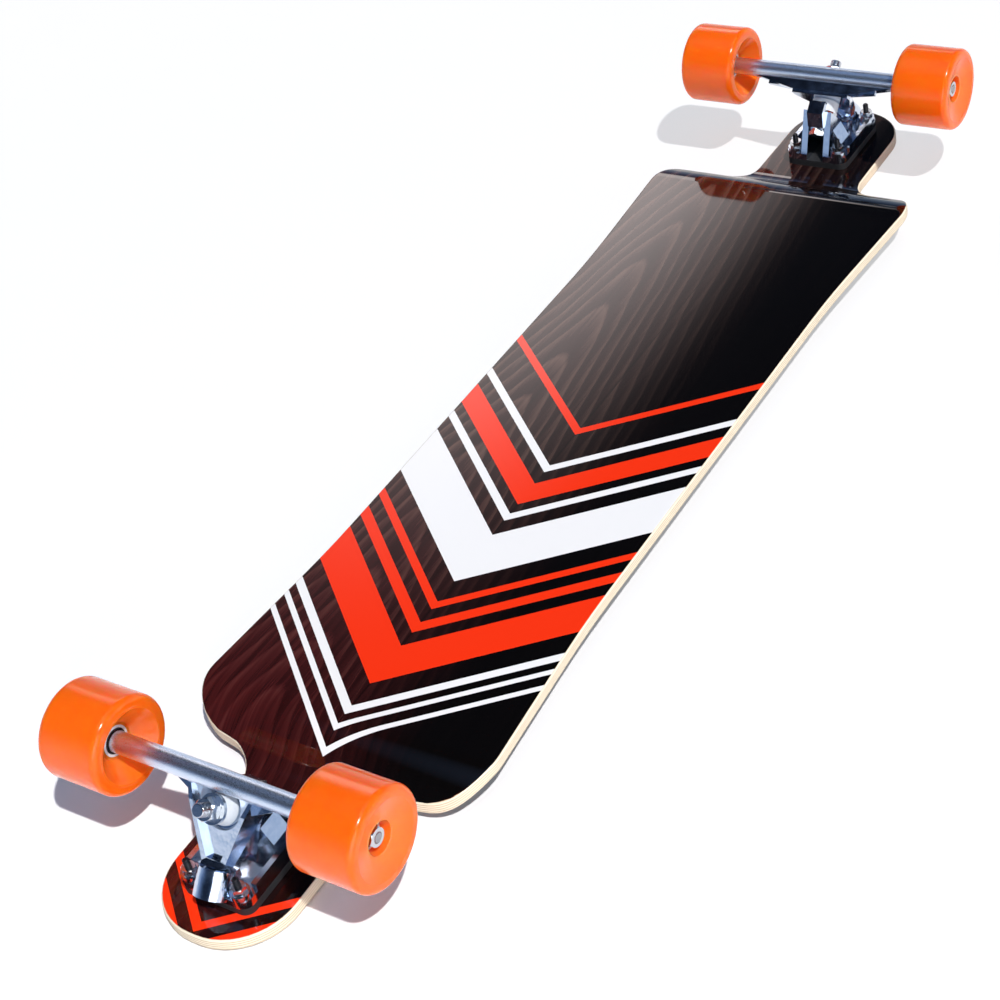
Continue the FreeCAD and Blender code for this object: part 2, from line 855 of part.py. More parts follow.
def make_mounting(name, end):
    """Flat-head bolts from the grip side, and nuts on the baseplate."""
    bolts = []
    nuts = []
    nut_top = boss_top + size("bolt_nut_height")
    for number, place in enumerate(bolt_places(end)):
        low = tongue_low - axle_level
        high = nut_top + size("bolt_tail")
        shank = pin(f"{name}_shank_{number}", size("bolt_radius"), low, high, place)
        head = bolt_head_cone(f"{name}_head_{number}", as_size(0), place)
        whole = fuse(f"{name}_bolt_{number}_blank", [shank, head])
        depth = low + size("bolt_socket_depth")
        socket = hexagon(f"{name}_socket_{number}", size("bolt_socket_across"), low, depth, place)
        bolts.append(cut(f"{name}_bolt_{number}", whole, socket))
        bore = size("bolt_radius") + size("slip_gap")
        across = size("bolt_nut_across")
        nuts.append(nut(f"{name}_nut_{number}", across, bore, boss_top, nut_top, place))
    node(group(f"{name}_bolts", bolts), f"{name}_mounting_bolts")
    node(group(f"{name}_nuts", nuts), f"{name}_mounting_nuts")


def wheel_profile():
    """Half section of a wheel: rounded lips, an inner recess, a dished outer face, two bearing seats."""
    radius = size("wheel_radius")
    lip = size("wheel_lip_round")
    middle = (bearing_in + bearing_out_end) / 2
    low = middle - size("wheel_width") / 2
    high = middle + size("wheel_width") / 2
    seat = size("bearing_radius")
    mouth = seat + size("wheel_hub_gap")
    dish = high - size("outer_dish_depth")
    return [
        (seat, bearing_in),
        (seat, bearing_in_end),
        (size("wheel_core_radius"), bearing_in_end),
        (size("wheel_core_radius"), bearing_out),
        (seat, bearing_out),
        (seat, bearing_out_end),
        (mouth, bearing_out_end),
        (mouth, dish),
        (size("wheel_hub_radius"), dish),
        (size("outer_dish_radius"), high),
        (radius, high, lip),
        (radius, low, lip),
        (size("inner_recess_radius"), low),
        (size("wheel_hub_radius"), bearing_in),
    ]


def outer_race_profile(low):
    """Half section of a bearing's outer race with its two shields."""
    high = low + size("bearing_width")
    outer = size("bearing_radius")
    inner = outer - size("outer_race_wall")
    edge = size("inner_race_radius") + size("slip_gap")
    shield = size("shield_thickness")
    return [
        (outer, low),
        (outer, high),
        (edge, high),
        (edge, high - shield),
        (inner, high - shield),
        (inner, low + shield),
        (edge, low + shield),
        (edge, low),
    ]


def make_wheel(truck_name, end, side):
    """Wheel with its two bearings, spacer, speed washers and axle nut."""
    place = truck_place(end) * (shift() if side > 0 else HALF_TURN) * ALONG_Y
    name = f"{truck_name}_{'left' if side * end > 0 else 'right'}"
    bore = size("axle_radius") + size("slip_gap")
    node(revolve(f"{name}_tyre", wheel_profile(), place), f"{name}_wheel")
    starts = (bearing_in, bearing_out)
    outer = [
        revolve(f"{name}_outer_race_{number}", outer_race_profile(low), place)
        for number, low in enumerate(starts)
    ]
    node(group(f"{name}_outer_races", outer), f"{name}_bearing_outer_races")
    race = size("inner_race_radius")
    inner = [
        tube(f"{name}_inner_race_{number}", bore, race, low, low + size("bearing_width"), place)
        for number, low in enumerate(starts)
    ]
    node(group(f"{name}_inner_races", inner), f"{name}_bearing_inner_races")
    washer = size("speed_washer_radius")
    sleeve = washer - size("shield_thickness")
    spacer = tube(f"{name}_spacer_tube", bore, sleeve, bearing_in_end, bearing_out, place)
    node(spacer, f"{name}_spacer")
    thick = size("speed_washer_thickness")
    washers = [
        tube(f"{name}_speed_washer_{number}", bore, washer, low, low + thick, place)
        for number, low in enumerate((bearing_in - thick, bearing_out_end))
    ]
    node(group(f"{name}_washers", washers), f"{name}_speed_washers")
    top = axle_nut_low + size("axle_nut_height")
    lock = nut(f"{name}_lock_nut", size("axle_nut_across"), bore, axle_nut_low, top, place)
    node(lock, f"{name}_axle_nut")


def make_truck(name, end):
    make_riser_pad(name, end)
    make_baseplate(name, end)
    make_pivot_cup(name, end)
    make_kingpin(name, end)
    make_bushings(name, end)
    make_hanger(name, end)
    make_axle(name, end)
    make_mounting(name, end)
    for side in (1, -1):
        make_wheel(name, end, side)


make_deck()
make_grip_tape()
make_truck("front", -1)
make_truck("rear", 1)
document.recompute()

for item in document.Objects:
    if "Invalid" in item.State or "Error" in item.State:
        raise RuntimeError(f"{item.Label} failed: {item.State}")
for item in nodes:
    if item.Shape.isNull() or not item.Shape.isValid():
        raise RuntimeError(f"{item.Label} has no valid shape")

os.makedirs("parts", exist_ok=True)
for item in nodes:
    item.Shape.exportStep(f"parts/{item.Label}.step")
    print(f"{item.Label}: {len(item.Shape.Solids)} solids, {item.Shape.Volume:.1f} mm3")
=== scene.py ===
"""Looks of the longboard: finishes for every CAD piece, the printed deck and a plain studio."""
import math
import bpy
from mathutils import Matrix, Vector


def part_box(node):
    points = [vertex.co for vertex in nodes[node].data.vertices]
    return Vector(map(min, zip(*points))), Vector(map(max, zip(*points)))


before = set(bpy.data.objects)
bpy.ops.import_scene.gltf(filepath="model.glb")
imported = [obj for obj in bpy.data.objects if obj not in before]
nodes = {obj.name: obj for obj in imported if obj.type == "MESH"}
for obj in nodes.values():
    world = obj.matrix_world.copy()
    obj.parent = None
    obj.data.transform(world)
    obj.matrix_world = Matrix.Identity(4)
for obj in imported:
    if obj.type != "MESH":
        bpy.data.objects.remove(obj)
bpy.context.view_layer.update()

ENDS = ("front", "rear")
SIDES = ("left", "right")
WHEELS = [f"{end}_{side}" for end in ENDS for side in SIDES]

# Sizes in metres, taken from the frame.
AXLE_LOW, AXLE_HIGH = (Vector(corner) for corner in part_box("rear_axle"))
AXLE_X, _, AXLE_Z = (AXLE_LOW + AXLE_HIGH) / 2
AXLE_END = AXLE_HIGH.y
DECK_LOW, DECK_HIGH = (Vector(corner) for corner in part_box("deck"))
TONGUE_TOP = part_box("rear_riser_pad")[0][2]
PLATFORM_TOP = DECK_HIGH.z
DECK_THICKNESS = TONGUE_TOP - DECK_LOW.z

# The photograph's camera, fitted to the wheels, axle ends and deck edges.
CAMERA_PLACE = Vector((-0.99154, -0.74249, 0.87879 + AXLE_Z))
CAMERA_TARGET = Vector((-0.15775, -0.02735, AXLE_Z))
CAMERA_ROLL = math.radians(-14.07)
CAMERA_LENS = 71.2
SENSOR_WIDTH = 36.0
CLIP_START = 0.05

# Floor: half its width and its level, just under the grip tape. Seen rays find it glowing by
# itself, more towards the far end of the board.
FLOOR_HALF = 6.0
FLOOR_LEVEL = -0.0002
FLOOR_COLOURS = ((0.976, 0.96, 0.955), (0.996, 0.98, 0.972))
GLOW_RUN = (-0.40, 0.45)
FLOOR_GLOW = (0.0, 0.62)
PURE_WHITE = (1.0, 1.0, 1.0)

# Lamps: the key's direction is fitted to the shadows of the photograph's wheels.
KEY_PLACE = Vector((-0.229, -0.476, 0.849))
KEY_STRENGTH = 3.2
KEY_ANGLE = math.radians(1.2)
FILL_PLACE = Vector((-1.5, -1.4, 0.45))
FILL_SIZE = 1.6
FILL_POWER = 15.0
FILL_TARGET = (0.0, 0.0, 0.05)

# Room: its colours from the horizon up, and a panel of light that the varnish mirrors. The panel's
# limits are slopes, sideways over up: where it starts, is full, starts to fade and ends. The lowest
# height keeps the slopes finite.
STUDIO = [
    (0.00, (0.62, 0.70, 0.84)),
    (0.10, (0.42, 0.54, 0.74)),
    (0.26, (0.14, 0.22, 0.40)),
    (0.44, (0.014, 0.024, 0.046)),
    (0.82, (0.006, 0.008, 0.014)),
    (0.91, (0.17, 0.26, 0.46)),
    (1.00, (0.24, 0.36, 0.62)),
]
PANEL_LEFT = (0.74, 0.92, 1.30, 1.60)
PANEL_BACK = (0.70, 1.45, 2.00, 2.60)
PANEL_COLOUR = (3.5, 3.2, 3.15)
LOWEST_HEIGHT = 0.01

# Range that the middle share of a noise texture's values fills.
NOISE_SPREAD = (0.3, 0.7)

# Wheels: radii between which the recess gives way to the outer colour, and the moulded ring, which
# shows only where a face looks sideways.
RECESS_RADII = (0.011, 0.030)
RING_RADIUS = 0.0275
RING_WIDTH = 0.0004
RING_FACING = (0.5, 0.9)

# Trucks: radii at which the satin bar ends, and radii on the bearings' faces.
BAR_RADII = (0.0080, 0.0086)
RACE_RADII = (0.0091, 0.0093)
RACE_METAL = 0.3
GROOVE_RADIUS = 0.0070
GROOVE_WIDTH = 0.0004

# Threads: pitch, the kingpins' lean as shares of x and z, and where each thread starts.
THREAD_PITCH = 0.00125
KINGPIN_LEAN = (0.731, 0.682)
KINGPIN_THREAD = (AXLE_Z - 0.0198, AXLE_Z - 0.0188)
AXLE_THREAD = (AXLE_END - 0.0140, AXLE_END - 0.0135)
BOLT_THREAD = (TONGUE_TOP + 0.0022, TONGUE_TOP + 0.0027)

# Deck skins: how far a face must look up or down to be varnished, on the bends and on the tongues,
# the places along the board between which that changes, and the lean that counts as an edge.
SKIN_LEVELS = (0.62, 0.93)
SKIN_CHANGE = (AXLE_X - 0.0475, AXLE_X - 0.0375)
EDGE_LEAN = 0.40
# Stain with painted sheen: black on the right to brown on the left, with russet near the front end.
# The fade across is partly the wood's stain and partly a painted sheen of mirrored light.
STAIN_AND_SHEEN_ACROSS = (-0.07, 0.08)
RUSSET_RUN = (-0.36, -0.05)
SEAM = (0.0002, 0.0006)
SEAM_DARKNESS = 0.75
BROWNS = [
    (0.30, (0.010, 0.003, 0.003)),
    (0.52, (0.030, 0.010, 0.010)),
    (0.82, (0.105, 0.054, 0.042)),
]
RUSSETS = [
    (0.30, (0.018, 0.003, 0.003)),
    (0.52, (0.060, 0.009, 0.009)),
    (0.82, (0.130, 0.030, 0.026)),
]
# Grain: place of the arches across the board, their round tips, their slope and step along it, and
# how far noise moves them across and along.
ARCH_PLACE = 0.082
ARCH_ROUND = 0.018
ARCH_SLOPE = 7.0
ARCH_STEP = 0.066
DRIFT_REACH = 0.036
SWAY_REACH = 0.12
# Plies: their number, the run of the bend that they follow and the dark line between two.
PLIES = 5
BEND_RUN = (AXLE_X - 0.0539, AXLE_X - 0.1141)
PLY_LINE = (0.32, 0.44)
BARE_ROUGHNESS = 0.55

# Printed design: bands that run across the deck as chevrons, measured along its middle from a
# point ahead of the front tip. Each has its start, width and colour.
CHEVRON_SLOPE = 0.85
PRINT_START = DECK_LOW.x - 0.0395
PRINT_LENGTH = 0.72
BLANK = (0.0, 0.0, 0.0)
WHITE = (0.92, 0.90, 0.88)
RED = (0.95, 0.035, 0.006)
BANDS = [
    (0.000, 0.010, RED),
    (0.020, 0.010, RED),
    (0.040, 0.010, RED),
    (0.190, 0.006, WHITE),
    (0.206, 0.006, WHITE),
    (0.222, 0.006, WHITE),
    (0.252, 0.040, RED),
    (0.306, 0.010, RED),
    (0.330, 0.010, RED),
    (0.362, 0.052, WHITE),
    (0.432, 0.008, WHITE),
    (0.452, 0.026, RED),
    (0.492, 0.008, WHITE),
    (0.540, 0.006, RED),
]


# A mix node's sockets for colours, which share their names with those for numbers.
MIX_COLOURS = (6, 7)
MIX_RESULT = 2


class Graph:
    """A node tree of a material or the world, with one short call for each kind of node."""

    def __init__(
        self, owner, output="ShaderNodeOutputMaterial", shader="ShaderNodeBsdfPrincipled"
    ):
        owner.use_nodes = True
        self.owner = owner
        self.tree = owner.node_tree
        self.tree.nodes.clear()
        self.output = self.node(output)
        self.shader = self.node(shader)
        self.tree.links.new(self.shader.outputs[0], self.output.inputs[0])

    def link(self, value, socket):
        if isinstance(value, bpy.types.NodeSocket):
            self.tree.links.new(value, socket)
        else:
            socket.default_value = value

    def set(self, **values):
        for name, value in values.items():
            self.link(value, self.shader.inputs[name.replace("_", " ")])

    def node(self, kind, **settings):
        item = self.tree.nodes.new(kind)
        for name, value in settings.items():
            setattr(item, name, value)
        return item

    def place(self):
        return self.node("ShaderNodeTexCoord").outputs["Object"]

    def normal(self):
        return self.node("ShaderNodeTexCoord").outputs["Normal"]

    def split(self, vector):
        item = self.node("ShaderNodeSeparateXYZ")
        self.link(vector, item.inputs[0])
        return item.outputs

    def join(self, x, y, z):
        item = self.node("ShaderNodeCombineXYZ")
        for value, socket in zip((x, y, z), item.inputs):
            self.link(value, socket)
        return item.outputs[0]

    def stretch(self, vector, scale):
        item = self.node("ShaderNodeMapping")
        self.link(vector, item.inputs["Vector"])
        item.inputs["Scale"].default_value = scale
        return item.outputs[0]

    def noise(self, vector, scale, detail, roughness=0.55):
        item = self.node("ShaderNodeTexNoise")
        self.link(vector, item.inputs["Vector"])
        item.inputs["Scale"].default_value = scale
        item.inputs["Detail"].default_value = detail
        item.inputs["Roughness"].default_value = roughness
        return item.outputs["Fac"]

    def cells(self, vector, scale):
        item = self.node("ShaderNodeTexVoronoi")
        self.link(vector, item.inputs["Vector"])
        item.inputs["Scale"].default_value = scale
        return item.outputs["Distance"]

    def math(self, operation, first, second=0.0, third=0.0):
        item = self.node("ShaderNodeMath", operation=operation)
        for value, socket in zip((first, second, third), item.inputs):
            self.link(value, socket)
        return item.outputs[0]

    def remap(self, value, low, high, new_low=0.0, new_high=1.0, kind="LINEAR"):
        item = self.node("ShaderNodeMapRange", interpolation_type=kind)
        for entry, socket in zip((value, low, high, new_low, new_high), item.inputs):
            self.link(entry, socket)
        return item.outputs[0]

    def mix(self, factor, first, second):
        item = self.node("ShaderNodeMix", data_type="RGBA")
        self.link(factor, item.inputs[0])
        for value, index in zip((first, second), MIX_COLOURS):
            value = (*value, 1.0) if isinstance(value, tuple) else value
            self.link(value, item.inputs[index])
        return item.outputs[MIX_RESULT]

    def ramp(self, value, stops, kind="LINEAR"):
        item = self.node("ShaderNodeValToRGB")
        self.link(value, item.inputs[0])
        item.color_ramp.interpolation = kind
        elements = item.color_ramp.elements
        while len(elements) < len(stops):
            elements.new(1.0)
        for element, (place, colour) in zip(elements, stops):
            element.position = place
            element.color = (*colour, 1.0)
        return item.outputs[0]

    def bump(self, height, strength, distance, base=None):
        item = self.node("ShaderNodeBump")
        item.inputs["Strength"].default_value = strength
        item.inputs["Distance"].default_value = distance
        self.link(height, item.inputs["Height"])
        if base is not None:
            self.link(base, item.inputs["Normal"])
        self.link(item.outputs[0], self.shader.inputs["Normal"])
        return item.outputs[0]

    def axle_distance(self):
        """Distance from the nearer axle's centre line."""
        x, _, z = self.split(self.place())
        along = self.math("SUBTRACT", self.math("ABSOLUTE", x), AXLE_X)
        up = self.math("SUBTRACT", z, AXLE_Z)
        flat = self.node("ShaderNodeVectorMath", operation="LENGTH")
        self.link(self.join(along, 0.0, up), flat.inputs[0])
        return flat.outputs["Value"]


def finish(name):
    """Starts a material of that name."""
    return Graph(bpy.data.materials.new(name))


def shade(names, material):
    """Gives the named CAD pieces one material."""
    for name in names:
        node = nodes[name]
        node.data.materials.clear()
        node.data.materials.append(material)


def urethane():
    """Glossy cast urethane, paler in the recesses, with a fine moulded ring on each face."""
    graph = finish("urethane_orange")
    place = graph.place()
    radius = graph.axle_distance()
    depth = graph.remap(radius, *RECESS_RADII)
    cloud = graph.noise(place, 60.0, 4.0)
    inner = graph.mix(cloud, (0.97, 0.175, 0.018), (0.99, 0.195, 0.024))
    outer = graph.mix(cloud, (0.96, 0.132, 0.004), (0.99, 0.152, 0.007))
    graph.set(Base_Color=graph.mix(depth, inner, outer), Specular_IOR_Level=0.35)
    graph.set(Subsurface_Weight=0.85, Subsurface_Scale=0.020)
    graph.set(Subsurface_Radius=(1.0, 0.18, 0.03))
    scuff = graph.noise(graph.stretch(place, (1.0, 0.25, 1.0)), 900.0, 2.0)
    graph.set(Roughness=graph.remap(scuff, *NOISE_SPREAD, 0.12, 0.19))
    worn = graph.bump(scuff, 0.02, 0.0002)
    off = graph.math("ABSOLUTE", graph.math("SUBTRACT", radius, RING_RADIUS))
    facing = graph.math("ABSOLUTE", graph.split(graph.normal())[1])
    line = graph.remap(off, 0.0, RING_WIDTH, 1.0, 0.0)
    ring = graph.math("MULTIPLY", line, graph.remap(facing, *RING_FACING))
    graph.bump(ring, 0.6, 0.0003, worn)
    return graph.owner


def casting():
    """Polished aluminium with faint casting waves; the round bar stays satin and sparkly."""
    graph = finish("polished_casting")
    place = graph.place()
    wave = graph.noise(place, 90.0, 2.0)
    sparkle = graph.noise(place, 2600.0, 2.0)
    bar = graph.remap(graph.axle_distance(), *BAR_RADII, 1.0, 0.0)
    smooth = graph.remap(wave, *NOISE_SPREAD, 0.09, 0.18)
    satin = graph.remap(sparkle, 0.35, 0.65, 0.22, 0.42)
    more = graph.math("SUBTRACT", satin, smooth)
    roughness = graph.math("MULTIPLY_ADD", more, bar, smooth)
    # The blue in both tones is a painted reflection of a blue sky over the metal's own grey.
    polish_sky_tint = graph.mix(wave, (0.50, 0.58, 0.70), (0.70, 0.77, 0.88))
    satin_sky_tint = graph.mix(sparkle, (0.58, 0.68, 0.82), (0.80, 0.88, 0.98))
    tone = graph.mix(bar, polish_sky_tint, satin_sky_tint)
    graph.set(Base_Color=tone, Metallic=1.0, Roughness=roughness)
    waves = graph.bump(wave, 0.25, 0.0006)
    graph.bump(graph.math("MULTIPLY", sparkle, bar), 0.35, 0.0002, waves)
    return graph.owner


def kingpin_thread(graph):
    """Height along the leaning kingpins, and where their thread starts."""
    x, _, z = graph.split(graph.place())
    lean = graph.math("MULTIPLY", graph.math("ABSOLUTE", x), KINGPIN_LEAN[0])
    along = graph.math("MULTIPLY_ADD", z, KINGPIN_LEAN[1], lean)
    return along, graph.remap(z, *KINGPIN_THREAD)


def axle_thread(graph):
    """Distance along the axles, and where their thread starts."""
    across = graph.math("ABSOLUTE", graph.split(graph.place())[1])
    return across, graph.remap(across, *AXLE_THREAD)


def bolt_thread(graph):
    """Height along the mounting bolts, and where their thread starts."""
    up = graph.split(graph.place())[2]
    return up, graph.remap(up, *BOLT_THREAD)


def plated(name, dark, light, low, high, scale=700.0, thread=None):
    """Plated or ground steel with fine streaks, and rings where it is threaded."""
    graph = finish(name)
    place = graph.place()
    streak = graph.noise(graph.stretch(place, (1.0, 0.2, 1.0)), scale, 3.0)
    cloud = graph.noise(place, 120.0, 2.0)
    graph.set(Base_Color=graph.mix(cloud, dark, light), Metallic=1.0)
    graph.set(Roughness=graph.remap(streak, *NOISE_SPREAD, low, high))
    base = graph.bump(streak, 0.08, 0.0001)
    if thread is not None:
        along, start = thread(graph)
        ring = graph.math("SINE", graph.math("MULTIPLY", along, 2 * math.pi / THREAD_PITCH))
        graph.bump(graph.math("MULTIPLY", ring, start), 0.7, 0.0003, base)
    return graph.owner


def bearing():
    """Chrome outer ring and black pressed shields."""
    graph = finish("bearing_shield")
    radius = graph.axle_distance()
    ring = graph.remap(radius, *RACE_RADII)
    off = graph.math("ABSOLUTE", graph.math("SUBTRACT", radius, GROOVE_RADIUS))
    groove = graph.remap(off, 0.0, GROOVE_WIDTH)
    speck = graph.noise(graph.place(), 1500.0, 2.0)
    black = graph.mix(speck, (0.012, 0.012, 0.013), (0.03, 0.03, 0.032))
    graph.set(Base_Color=graph.mix(ring, black, (0.93, 0.94, 0.96)))
    graph.set(Metallic=graph.math("MULTIPLY", ring, RACE_METAL))
    graph.set(Roughness=graph.remap(speck, *NOISE_SPREAD, 0.14, 0.3))
    graph.bump(groove, 0.5, 0.0003)
    return graph.owner


def rubber(name, dark, light, low, high):
    """Speckled rubber or urethane with a faint grain."""
    graph = finish(name)
    speck = graph.noise(graph.place(), 500.0, 4.0)
    graph.set(Base_Color=graph.mix(speck, dark, light))
    graph.set(Roughness=graph.remap(speck, *NOISE_SPREAD, low, high))
    graph.bump(speck, 0.2, 0.0003)
    return graph.owner


def grip():
    """Black tape with coarse glinting grit."""
    graph = finish("grip_tape_grit")
    place = graph.place()
    grit = graph.cells(place, 1300.0)
    tone = graph.noise(place, 40.0, 3.0)
    dark = graph.mix(tone, (0.012, 0.012, 0.013), (0.028, 0.028, 0.03))
    graph.set(Base_Color=graph.mix(graph.remap(grit, 0.5, 0.9), dark, (0.10, 0.10, 0.11)))
    graph.set(Roughness=graph.remap(grit, 0.2, 0.8, 0.95, 0.55))
    graph.bump(grit, 0.8, 0.0006)
    return graph.owner


def grain(graph, place):
    """Height of the wood's figure: nested arches on one half, straight lines beside them."""
    x, y, _ = graph.split(place)
    drift = graph.noise(graph.stretch(place, (3.2, 11.0, 1.0)), 1.0, 2.0, 0.5)
    sway = graph.noise(graph.stretch(place, (2.0, 5.0, 1.0)), 1.7, 2.0, 0.5)
    off = graph.math("MULTIPLY_ADD", drift, DRIFT_REACH, y)
    off = graph.math("SUBTRACT", off, ARCH_PLACE)
    spread = graph.math("SQRT", graph.math("MULTIPLY_ADD", off, off, ARCH_ROUND * ARCH_ROUND))
    arch = graph.math("MULTIPLY_ADD", spread, ARCH_SLOPE, x)
    arch = graph.math("MULTIPLY_ADD", sway, SWAY_REACH, arch)
    saw = graph.math("FRACT", graph.math("DIVIDE", arch, ARCH_STEP))
    rise = graph.math("MULTIPLY", saw, saw)
    ring = graph.math("MULTIPLY", rise, graph.remap(saw, 0.85, 1.0, 1.0, 0.0))
    return graph.math("MULTIPLY", ring, graph.remap(x, *RUSSET_RUN, 0.45, 1.0))


def deck():
    """Stained maple under a clear coat, printed with chevrons, with pale plies along the edge."""
    graph = finish("deck_maple")
    place = graph.place()
    x, y, z = graph.split(place)
    across = graph.math("ABSOLUTE", y)
    along = graph.math("ABSOLUTE", x)
    _, side, facing = graph.split(graph.normal())
    # The skins are flat across the board; only the bends lean along it, and the tongues lie level.
    level = graph.remap(along, *SKIN_CHANGE, *SKIN_LEVELS)
    flat = graph.math("LESS_THAN", graph.math("ABSOLUTE", side), EDGE_LEAN)
    skin = graph.math("MULTIPLY", graph.math("GREATER_THAN", facing, level), flat)
    under = graph.math("GREATER_THAN", graph.math("MULTIPLY", facing, -1.0), level)
    under = graph.math("MULTIPLY", under, flat)
    rings = grain(graph, place)
    fibres = graph.noise(graph.stretch(place, (7.0, 260.0, 7.0)), 1.0, 4.0, 0.6)
    figure = graph.math("MULTIPLY_ADD", fibres, 0.60, 0.12)
    figure = graph.math("MULTIPLY_ADD", rings, 0.50, figure)
    # Black on the right to brown on the left: partly stain, partly a painted sheen.
    left = graph.remap(y, *STAIN_AND_SHEEN_ACROSS, kind="SMOOTHSTEP")
    brown = graph.ramp(figure, BROWNS)
    russet = graph.ramp(figure, RUSSETS)
    brown = graph.mix(graph.remap(x, *RUSSET_RUN), russet, brown)
    black = graph.mix(fibres, (0.0014, 0.0012, 0.0012), (0.0034, 0.0026, 0.0025))
    seam = graph.remap(across, *SEAM, SEAM_DARKNESS, 0.0)
    stain_and_sheen = graph.mix(seam, graph.mix(left, black, brown), (0.001, 0.001, 0.001))
    run = graph.math("SUBTRACT", x, PRINT_START)
    run = graph.math("MULTIPLY_ADD", across, -CHEVRON_SLOPE, run)
    step = graph.math("DIVIDE", run, PRINT_LENGTH)
    inks = [(0.0, BLANK)]
    masks = [(0.0, BLANK)]
    for start, width, colour in BANDS:
        inks.append((start / PRINT_LENGTH, colour))
        masks.append((start / PRINT_LENGTH, PURE_WHITE))
        masks.append(((start + width) / PRINT_LENGTH, BLANK))
    mask = graph.ramp(step, masks, "CONSTANT")
    printed = graph.mix(mask, stain_and_sheen, graph.ramp(step, inks, "CONSTANT"))
    # Plies: depth below the upper skin, which follows the bends.
    skin_level = graph.remap(along, *BEND_RUN, TONGUE_TOP, PLATFORM_TOP, "SMOOTHERSTEP")
    depth = graph.math("SUBTRACT", skin_level, z)
    ply = graph.math("FRACT", graph.math("MULTIPLY", depth, PLIES / DECK_THICKNESS))
    line = graph.remap(graph.math("ABSOLUTE", graph.math("SUBTRACT", ply, 0.5)), *PLY_LINE)
    rough_edge = graph.noise(graph.stretch(place, (60.0, 60.0, 500.0)), 1.0, 4.0)
    pale = graph.mix(rough_edge, (0.80, 0.69, 0.50), (0.92, 0.83, 0.66))
    edge = graph.mix(graph.math("MULTIPLY", line, 0.85), pale, (0.42, 0.23, 0.10))
    graph.set(Base_Color=graph.mix(skin, graph.mix(under, edge, stain_and_sheen), printed))
    varnish = graph.math("MAXIMUM", skin, under)
    wear = graph.noise(graph.stretch(place, (6.0, 90.0, 6.0)), 3.0, 3.0)
    gloss = graph.remap(wear, *NOISE_SPREAD, 0.30, 0.42)
    less = graph.math("SUBTRACT", gloss, BARE_ROUGHNESS)
    graph.set(Roughness=graph.math("MULTIPLY_ADD", varnish, less, BARE_ROUGHNESS))
    graph.set(Coat_Weight=varnish, Coat_Roughness=0.05, Specular_IOR_Level=0.0)
    graph.bump(figure, 0.04, 0.0003)
    return graph.owner


def dress():
    """Gives every CAD piece its finish."""
    shade(["deck"], deck())
    shade(["grip_tape"], grip())
    metal = casting()
    zinc = plated("zinc_plate", (0.50, 0.53, 0.56), (0.68, 0.70, 0.73), 0.10, 0.24)
    kingpin = plated(
        "zinc_kingpin", (0.56, 0.60, 0.66), (0.72, 0.76, 0.82), 0.12, 0.26, thread=kingpin_thread
    )
    steel = plated(
        "ground_steel", (0.24, 0.25, 0.27), (0.40, 0.41, 0.43), 0.15, 0.30, 1200.0, axle_thread
    )
    black = plated(
        "black_oxide", (0.02, 0.02, 0.022), (0.05, 0.05, 0.055), 0.28, 0.45, thread=bolt_thread
    )
    pad = rubber("riser_rubber", (0.008, 0.008, 0.009), (0.022, 0.022, 0.024), 0.55, 0.75)
    bush = rubber("bushing_urethane", (0.62, 0.65, 0.68), (0.74, 0.77, 0.80), 0.25, 0.40)
    for end in ENDS:
        shade([f"{end}_hanger", f"{end}_baseplate"], metal)
        shade([f"{end}_kingpin"], kingpin)
        shade([f"{end}_kingpin_nut", f"{end}_mounting_nuts"], zinc)
        shade([f"{end}_boardside_washer", f"{end}_roadside_washer"], zinc)
        shade([f"{end}_axle"], steel)
        shade([f"{end}_mounting_bolts"], black)
        shade([f"{end}_riser_pad", f"{end}_pivot_cup"], pad)
        shade([f"{end}_boardside_bushing", f"{end}_roadside_bushing"], bush)
    tyre = urethane()
    race = bearing()
    for wheel in WHEELS:
        shade([f"{wheel}_wheel"], tyre)
        shade([f"{wheel}_bearing_outer_races"], race)
        shade([f"{wheel}_bearing_inner_races", f"{wheel}_spacer"], steel)
        shade([f"{wheel}_speed_washers"], steel)
        shade([f"{wheel}_axle_nut"], zinc)


def seen_rays(graph):
    """1 for what the camera or a mirror sees, 0 for light that falls on the object."""
    rays = graph.node("ShaderNodeLightPath")
    seen = graph.math("MAXIMUM", rays.outputs["Is Camera Ray"], rays.outputs["Is Glossy Ray"])
    return graph.math("MAXIMUM", seen, rays.outputs["Is Transmission Ray"])


def make_floor():
    """White floor that keeps the shadows; for seen rays it glows towards the far end."""
    half = FLOOR_HALF
    corners = [(-half, -half, FLOOR_LEVEL), (half, -half, FLOOR_LEVEL)]
    corners += [(half, half, FLOOR_LEVEL), (-half, half, FLOOR_LEVEL)]
    mesh = bpy.data.meshes.new("floor")
    mesh.from_pydata(corners, [], [(0, 1, 2, 3)])
    floor = bpy.data.objects.new("floor", mesh)
    bpy.context.collection.objects.link(floor)
    graph = finish("studio_white")
    speck = graph.noise(graph.place(), 8.0, 2.0)
    graph.set(Base_Color=graph.mix(speck, *FLOOR_COLOURS), Roughness=0.9)
    glow = graph.node("ShaderNodeEmission")
    glow.inputs["Color"].default_value = (*PURE_WHITE, 1.0)
    blend = graph.node("ShaderNodeMixShader")
    share = graph.remap(graph.split(graph.place())[0], *GLOW_RUN, *FLOOR_GLOW)
    graph.link(graph.math("MULTIPLY", seen_rays(graph), share), blend.inputs[0])
    graph.link(graph.shader.outputs[0], blend.inputs[1])
    graph.link(glow.outputs[0], blend.inputs[2])
    graph.link(blend.outputs[0], graph.output.inputs[0])
    mesh.materials.append(graph.owner)


def aim(item, target):
    item.rotation_euler = (Vector(target) - item.location).to_track_quat("-Z", "Y").to_euler()


def add_light(light, place, target):
    item = bpy.data.objects.new(light.name, light)
    item.location = place
    item.visible_camera = False
    aim(item, target)
    bpy.context.collection.objects.link(item)


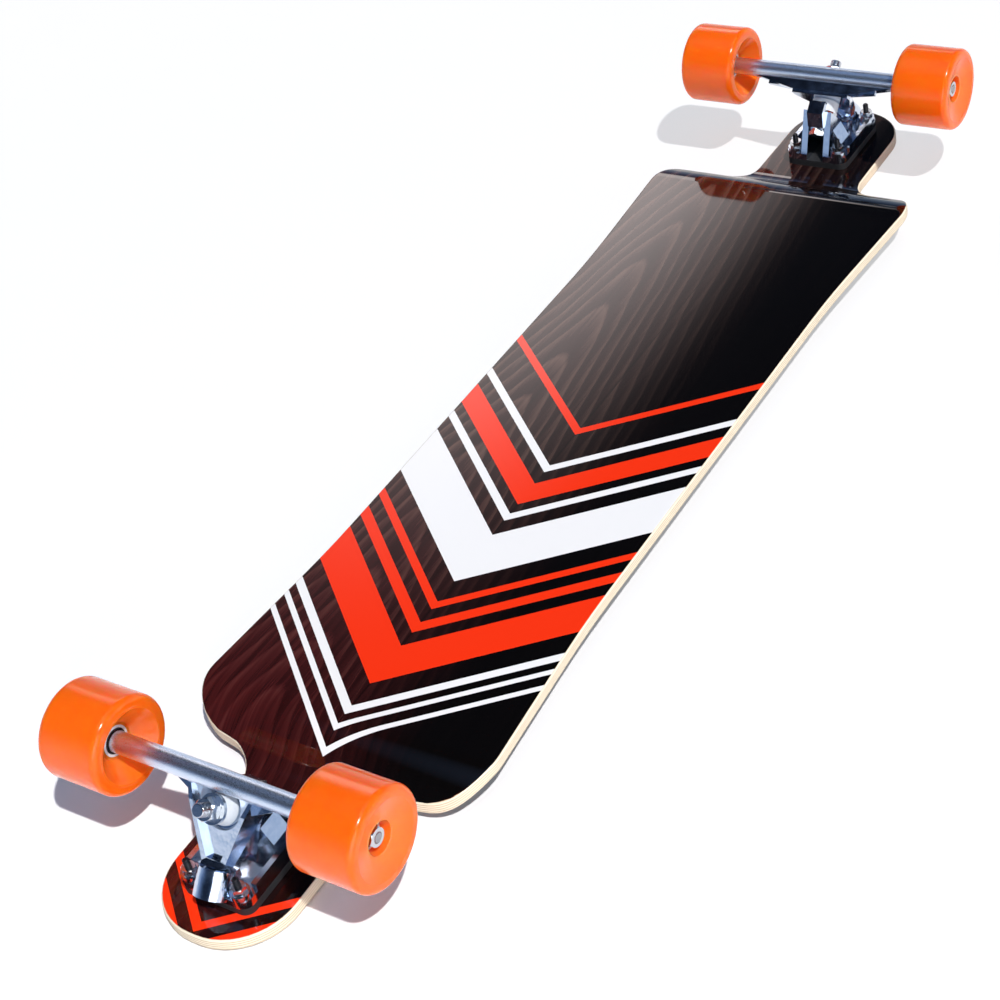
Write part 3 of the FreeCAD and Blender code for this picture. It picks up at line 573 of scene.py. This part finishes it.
def make_world():
    """Blue-grey room with a panel of light beyond the board's left side; the camera sees white."""
    world = bpy.data.worlds.new("studio")
    bpy.context.scene.world = world
    graph = Graph(world, "ShaderNodeOutputWorld", "ShaderNodeBackground")
    x, y, z = graph.split(graph.node("ShaderNodeTexCoord").outputs["Generated"])
    room = graph.ramp(z, STUDIO)
    height = graph.math("MAXIMUM", z, LOWEST_HEIGHT)
    back = graph.math("DIVIDE", x, height)
    left = graph.math("DIVIDE", y, height)
    panel = graph.math("GREATER_THAN", z, 0.0)
    for slope, (start, full, fade, end) in ((left, PANEL_LEFT), (back, PANEL_BACK)):
        panel = graph.math("MULTIPLY", panel, graph.remap(slope, start, full, kind="SMOOTHSTEP"))
        panel = graph.math("MULTIPLY", panel, graph.remap(slope, end, fade, kind="SMOOTHSTEP"))
    lit = graph.mix(panel, room, PANEL_COLOUR)
    camera = graph.node("ShaderNodeLightPath").outputs["Is Camera Ray"]
    graph.set(Color=graph.mix(camera, lit, PURE_WHITE))


def make_lights():
    """A small hard sun, and a soft disk low on the near side."""
    sun = bpy.data.lights.new("key", "SUN")
    sun.energy = KEY_STRENGTH
    sun.angle = KEY_ANGLE
    add_light(sun, KEY_PLACE, (0.0, 0.0, 0.0))
    fill = bpy.data.lights.new("fill", "AREA")
    fill.shape = "DISK"
    fill.size = FILL_SIZE
    fill.energy = FILL_POWER
    add_light(fill, FILL_PLACE, FILL_TARGET)


def make_camera():
    """Camera at the photograph's place, rolled as the photograph is."""
    ahead = (CAMERA_TARGET - CAMERA_PLACE).normalized()
    right = ahead.cross(Vector((0, 0, 1))).normalized()
    up = right.cross(ahead)
    turn_cos = math.cos(CAMERA_ROLL)
    turn_sin = math.sin(CAMERA_ROLL)
    axis_x = right * turn_cos + up * turn_sin
    axis_y = up * turn_cos - right * turn_sin
    camera = bpy.data.cameras.new("camera")
    camera.lens = CAMERA_LENS
    camera.sensor_width = SENSOR_WIDTH
    camera.clip_start = CLIP_START
    item = bpy.data.objects.new("camera", camera)
    rotation = Matrix((axis_x, axis_y, -ahead)).transposed().to_4x4()
    item.matrix_world = Matrix.Translation(CAMERA_PLACE) @ rotation
    bpy.context.collection.objects.link(item)
    bpy.context.scene.camera = item


dress()
make_floor()
make_world()
make_lights()
make_camera()
bpy.context.scene.view_settings.view_transform = "Standard"
